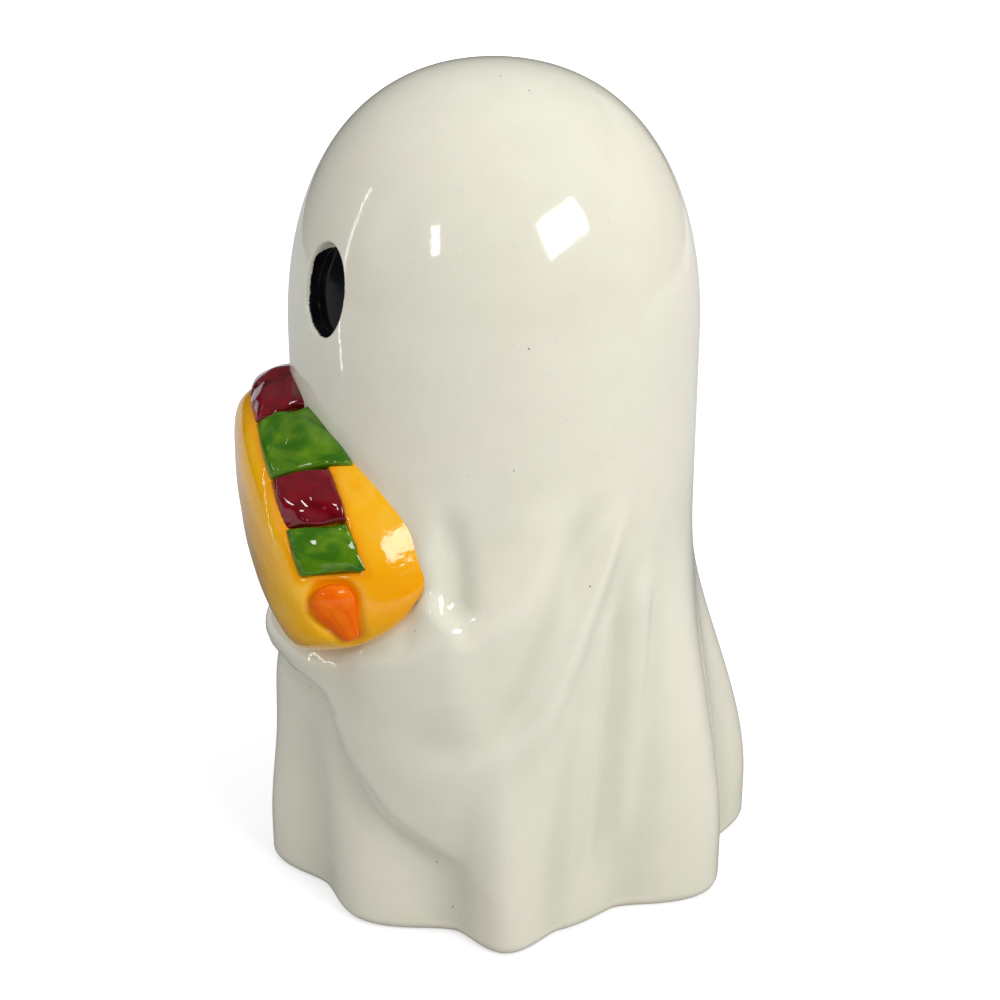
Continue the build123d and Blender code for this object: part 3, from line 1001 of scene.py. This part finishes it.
class GHOST_OT_cheese(bpy.types.Operator):
    """Model the drop of cheese at each end of the rim"""

    bl_idname = "ghost.cheese"
    bl_label = "Cheese"

    def execute(self, context):
        sizes, colours = context.scene.ghost_sizes, context.scene.ghost_colours
        left = start_piece(
            "cheese_left_glaze", bpy.ops.mesh.primitive_uv_sphere_add, segments=96, ring_count=48, radius=1
        )
        normals = points_of(left)
        (head, head_radius), (tip, tip_radius) = CHEESE_ROUNDS
        on_tip = normals[:, :2] @ np.subtract(tip, head) + tip_radius - head_radius > 0
        on_rounds = [np.add(tip, tip_radius * normals[:, :2]), np.add(head, head_radius * normals[:, :2])]
        flat = np.where(on_tip[:, None], *on_rounds)
        thickness = np.where(on_tip, CHEESE_TIP_THICKNESS, CHEESE_THICKNESS) * normals[:, 2]
        middle, back, up, out = cheese_axes(1, sizes)
        lift = CHEESE_INSET - CHEESE_SUNK
        points = middle + np.outer(flat[:, 0], back) + np.outer(flat[:, 1], up)
        place_points(left, points + np.outer(thickness + lift, out))
        face_outwards()
        apply_modifier(left, "SMOOTH", factor=0.5, iterations=12)
        material = brushed_glaze("orange_glaze", colours, "orange", "orange_pale", 0.8, 0.0060, 0.0004, 0.25)
        finish_pair(left, "cheese", material)
        return {"FINISHED"}


# Stage: the camera stands at the figure's left, a little in front and above
CAMERA_TURN, CAMERA_RISE = 80, 20
CAMERA_DISTANCE = 0.330
CAMERA_AIM = mm(0.2007, 1.1384, 77.78)
FOCAL_SHARE = 1.624
SENSOR = 36.0

# Floor: a disc with a rim, with the figure's shadow painted dark into it in reflections near the figure, and
# whiter to the camera further off
FLOOR_RADIUS, FLOOR_RIM = 3.0, 1.0
PAPER_DARK, PAPER_PALE, PAPER_SHADOW_MIRRORED = (0.54, 0.54, 0.55), (0.60, 0.60, 0.61), (0.1, 0.1, 0.1)
PAPER_SEEN = (0.62, 0.62, 0.62, 1.0)
MIRRORED_NEAR = (0.30, 0.16)
MIRRORED_SHADOW, MIRRORED_GLOW = 0.8, 0.10
GLOW_NEAR, GLOW_FAR = 0.12, 0.7
GLOW_BASE, GLOW_RISE = 0.56, 0.5

# Sky: brighter overhead and behind the left shoulder, and dimmed in reflections
SKY_COLOUR = (0.96, 0.99, 1.05, 1)
SKY_BASE, SKY_OVERHEAD, SKY_SHOULDER = 0.07, 0.86, 0.03
SKY_DIMMED = 0.78
SHOULDER_TURN = 150

# Lamps, each with its direction from the figure, its size, its roll and how bright its face is
LAMP_COLOUR = (1.0, 0.985, 0.955)
LAMP_HEIGHT = 0.08
Lamp = namedtuple("Lamp", "name turn rise distance width height roll glow")
LAMPS = (
    Lamp("key_lamp", 123, 31, 0.9, 0.42, 0.235, 15, 10.9),
    Lamp("window_lamp", 46, 27, 0.9, 0.062, 0.165, 16, 14.5),
    Lamp("front_card", 13, 22.5, 0.9, 0.27, 0.30, -8, 0.5),
    Lamp("front_strip", -7, 13, 0.4, 0.005, 0.335, 0, 14.0),
    Lamp("back_card", 196, 12, 1.2, 1.9, 1.1, 0, 0.32),
)


def outward(turn, rise):
    """Direction from the figure at a turn and a rise over the horizon."""
    turn, rise = radians(turn), radians(rise)
    return Vector((sin(turn) * cos(rise), -cos(turn) * cos(rise), sin(rise)))


class GHOST_OT_stage(bpy.types.Operator):
    """Set up the floor, the soft lamps and the camera"""

    bl_idname = "ghost.stage"
    bl_label = "Stage"

    def execute(self, context):
        self.lay_floor()
        self.light_world(context.scene)
        for lamp in LAMPS:
            self.hang_lamp(lamp)
        self.place_camera(context.scene)
        context.scene.view_settings.view_transform = "Standard"
        return {"FINISHED"}

    def lay_floor(self):
        """A wide, level, pale floor."""
        floor = start_piece(
            "floor_sweep",
            bpy.ops.mesh.primitive_circle_add,
            vertices=128,
            radius=FLOOR_RADIUS,
            fill_type="NGON",
        )
        with editing():
            bpy.ops.mesh.inset(thickness=FLOOR_RIM)
        floor.data.materials.append(self.paper())

    def paper(self):
        """Pale paper that the camera sees as white, with the figure's shadow, and that bounces light."""
        finish = Finish("floor_paper")
        mirrored = finish.ray("Is Glossy Ray")
        distance = finish.node("ShaderNodeVectorMath", "Value", {"operation": "LENGTH"}, Vector=finish.place)
        near = finish.span(distance, *MIRRORED_NEAR)
        paper = finish.blend(finish.noise(0.002, 3.0), PAPER_DARK, PAPER_PALE)
        # Painted shadow: near the figure the paper turns dark in reflections, standing in for the figure's
        # shadow on it
        colour = finish.blend(MIRRORED_SHADOW * mirrored * near, paper, PAPER_SHADOW_MIRRORED)
        finish.fill(finish.shader, {"Base_Color": colour, "Roughness": 0.9, "Specular_IOR_Level": 0.0})
        far = finish.span(distance, GLOW_NEAR, GLOW_FAR)
        glow = finish.node("ShaderNodeEmission", "Emission", Color=GLOW_BASE + GLOW_RISE * far)
        matte = finish.node("ShaderNodeBsdfDiffuse", "BSDF", Color=PAPER_SEEN)
        seen = finish.node("ShaderNodeAddShader", "Shader", None, {0: glow, 1: matte})
        share = finish.ray("Is Camera Ray") + MIRRORED_GLOW * mirrored * (1 - near)
        finish.shown(share, Value(finish.tree, finish.shader.outputs[0]), seen, "Material Output")
        return finish.material

    def light_world(self, scene):
        """Soft light, brighter overhead and behind the left shoulder, and white to the camera."""
        scene.world = bpy.data.worlds.new("studio")
        sky = Network(scene.world)
        overhead = self.facing(sky, (0, 0, 1), -0.1, 1.0)
        behind = self.facing(sky, outward(SHOULDER_TURN, 0), -0.2, 1.0)
        level_light = SKY_BASE + SKY_OVERHEAD * overhead + SKY_SHOULDER * behind
        strength = level_light * (1 - SKY_DIMMED * sky.ray("Is Glossy Ray"))
        soft = sky.tree.nodes["Background"]
        sky.fill(soft, {"Color": SKY_COLOUR, "Strength": strength})
        white = sky.node("ShaderNodeBackground", "Background", Color=(1, 1, 1, 1))
        sky.shown(sky.ray("Is Camera Ray"), Value(sky.tree, soft.outputs[0]), white, "World Output")

    def facing(self, sky, direction, low, high):
        """Smooth share of how far the view into the world faces a direction."""
        toward = sky.node("ShaderNodeTexCoord", "Generated")
        product, smooth = {"operation": "DOT_PRODUCT"}, {"interpolation_type": "SMOOTHSTEP"}
        dot = sky.node("ShaderNodeVectorMath", "Value", product, {0: toward, 1: direction})
        return sky.node("ShaderNodeMapRange", "Result", smooth, Value=dot, From_Min=low, From_Max=high)

    def hang_lamp(self, lamp):
        """A rectangular soft lamp that faces the figure."""
        data = bpy.data.lights.new(lamp.name, "AREA")
        data.shape = "RECTANGLE"
        data.size, data.size_y = lamp.width, lamp.height
        data.energy = lamp.glow * pi * lamp.width * lamp.height
        data.color = LAMP_COLOUR
        light = bpy.data.objects.new(lamp.name, data)
        direction = outward(lamp.turn, lamp.rise)
        roll = Quaternion((0, 0, 1), radians(lamp.roll))
        light.location = Vector((0, 0, LAMP_HEIGHT)) + direction * lamp.distance
        light.rotation_euler = (direction.to_track_quat("Z", "Y") @ roll).to_euler()
        bpy.context.scene.collection.objects.link(light)

    def place_camera(self, scene):
        """The camera at the photograph's angle, for a square picture."""
        data = bpy.data.cameras.new("camera")
        data.sensor_width = SENSOR
        data.lens = SENSOR * FOCAL_SHARE
        camera = bpy.data.objects.new("camera", data)
        direction = outward(CAMERA_TURN, CAMERA_RISE)
        camera.location = Vector(CAMERA_AIM) + direction * CAMERA_DISTANCE
        camera.rotation_euler = direction.to_track_quat("Z", "Y").to_euler()
        data.clip_start, data.clip_end = 0.01, 50
        scene.collection.objects.link(camera)
        scene.camera = camera


class GHOST_PT_panel(bpy.types.Panel):
    """Pieces and sizes of the ceramic ghost"""

    bl_idname = "GHOST_PT_panel"
    bl_label = "Ceramic Ghost"
    bl_space_type = "VIEW_3D"
    bl_region_type = "UI"
    bl_category = "Ghost"

    def draw(self, context):
        for operator in OPERATORS:
            self.layout.operator(operator.bl_idname)
        for group in (context.scene.ghost_sizes, context.scene.ghost_colours):
            box = self.layout.box()
            for name in group.__annotations__:
                box.prop(group, name)


OPERATORS = (GHOST_OT_body, GHOST_OT_eyes, GHOST_OT_taco, GHOST_OT_filling, GHOST_OT_cheese, GHOST_OT_stage)
CLASSES = (GhostSizes, GhostColours, *OPERATORS, GHOST_PT_panel)


def register():
    """Register the classes and hang the properties on the scene."""
    for item in CLASSES:
        bpy.utils.register_class(item)
    bpy.types.Scene.ghost_sizes = PointerProperty(type=GhostSizes)
    bpy.types.Scene.ghost_colours = PointerProperty(type=GhostColours)


def unregister():
    """Undo what register did."""
    del bpy.types.Scene.ghost_colours
    del bpy.types.Scene.ghost_sizes
    for item in reversed(CLASSES):
        bpy.utils.unregister_class(item)


def main():
    """Model all pieces and set the stage."""
    register()
    bpy.ops.ghost.body()
    bpy.ops.ghost.eyes()
    bpy.ops.ghost.taco()
    bpy.ops.ghost.filling()
    bpy.ops.ghost.cheese()
    bpy.ops.ghost.stage()


if __name__ == "__main__":
    main()
